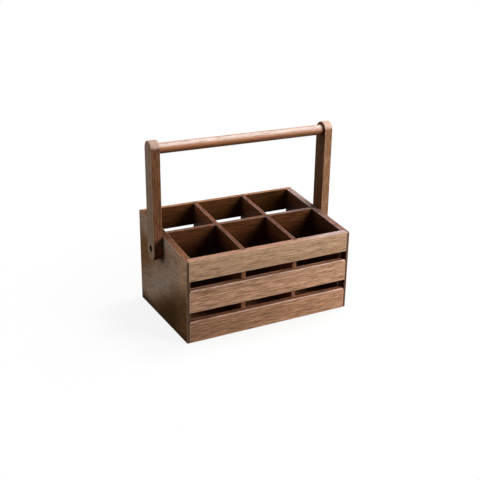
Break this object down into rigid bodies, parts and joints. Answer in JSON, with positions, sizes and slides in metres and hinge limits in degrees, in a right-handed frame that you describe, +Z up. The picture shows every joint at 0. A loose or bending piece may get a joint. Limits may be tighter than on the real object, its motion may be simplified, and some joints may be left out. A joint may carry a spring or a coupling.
{
  "type": "spoon holder",
  "caption": "Open wooden box with slatted front and back, a rim rising to the rear, crossed dividers for upright cutlery, and a swing handle with a round rod.",
  "frame": {"origin": "on the table, in the middle of the basket's length and depth", "axes": "+X along the caddy to the right, -Y towards the front slats, +Z up"},
  "size_m": [0.288, 0.168, 0.2645],
  "materials": {
    "panel_wood": "oiled walnut, satin, cool grey-brown on the end faces",
    "slat_wood": "oiled walnut, satin, grain along the slat",
    "divider_wood": "oiled walnut, satin",
    "floor_wood": "oiled walnut, satin",
    "handle_wood": "oiled walnut, satin, grain along the upright",
    "rod_wood": "turned and oiled walnut, a little glossier from the hand",
    "black_screw": "black oxide, satin",
    "steel_washer": "plain steel",
    "brass_insert": "turned brass"
  },
  "bodies": {
    "basket": {"end_panel_left": "panel_wood", "end_panel_right": "panel_wood", "front_slat_top": "slat_wood", "front_slat_middle": "slat_wood", "front_slat_bottom": "slat_wood", "back_slat_top": "slat_wood", "back_slat_middle": "slat_wood", "back_slat_bottom": "slat_wood", "long_divider": "divider_wood", "cross_divider_1": "divider_wood", "cross_divider_2": "divider_wood", "floor_panel": "floor_wood", "pivot_screw_left": "black_screw", "pivot_screw_right": "black_screw", "pivot_washer_left": "steel_washer", "pivot_washer_right": "steel_washer", "threaded_insert_left": "brass_insert", "threaded_insert_right": "brass_insert"},
    "handle": {"handle_upright_left": "handle_wood", "handle_upright_right": "handle_wood", "handle_rod": "rod_wood"}
  },
  "joints": [
    {"name": "handle_swing", "type": "hinge", "parent": "basket", "child": "handle", "pos_m": [0, 0.005, 0.11106], "axis": [1, 0, 0], "range_deg": [-130, 130]}
  ]
}
